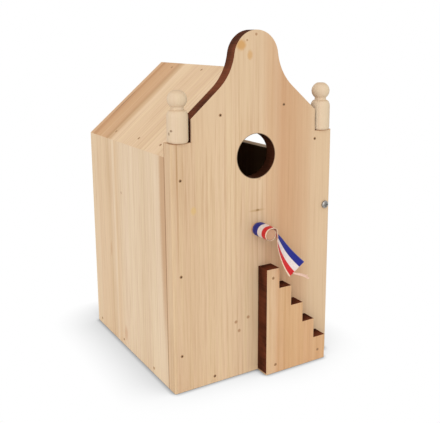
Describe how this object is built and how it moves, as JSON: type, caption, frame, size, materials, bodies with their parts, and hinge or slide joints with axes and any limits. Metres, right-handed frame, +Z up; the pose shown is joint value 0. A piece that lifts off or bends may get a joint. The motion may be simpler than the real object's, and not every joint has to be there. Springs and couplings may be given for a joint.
{
  "type": "wooden birdhouse",
  "caption": "Pine nest box shaped like a narrow gabled house, with a round entrance, ribboned perch, stair board and swinging side door.",
  "frame": {"origin": "middle of the footprint of the four walls, on the ground", "axes": "+Z up, -Y out of the front with the entrance hole, +X towards the swinging side door"},
  "size_m": [0.138, 0.1734, 0.2568],
  "materials": {
    "pine_board": "bare planed pine with visible grain",
    "turned_wood": "bare turned hardwood, smooth",
    "screw_steel": "zinc-plated steel",
    "ribbon_cloth": "woven ribbon with blue, white and red bands"
  },
  "bodies": {
    "house": {"front_board": "pine_board", "back_board": "pine_board", "left_wall": "pine_board", "floor_board": "pine_board", "left_roof_board": "pine_board", "right_roof_board": "pine_board", "stair_board": "pine_board", "perch_dowel": "pine_board", "ribbon_wrap": "ribbon_cloth", "ribbon_tail": "ribbon_cloth", "left_finial": "turned_wood", "right_finial": "turned_wood"},
    "door": {"side_door": "pine_board", "front_pivot_screw": "screw_steel", "back_pivot_screw": "screw_steel"}
  },
  "joints": [
    {"name": "door_swing", "type": "hinge", "parent": "house", "child": "door", "pos_m": [0.0645, 0, 0.123], "axis": [0, -1, 0], "range_deg": [0, 80]}
  ]
}
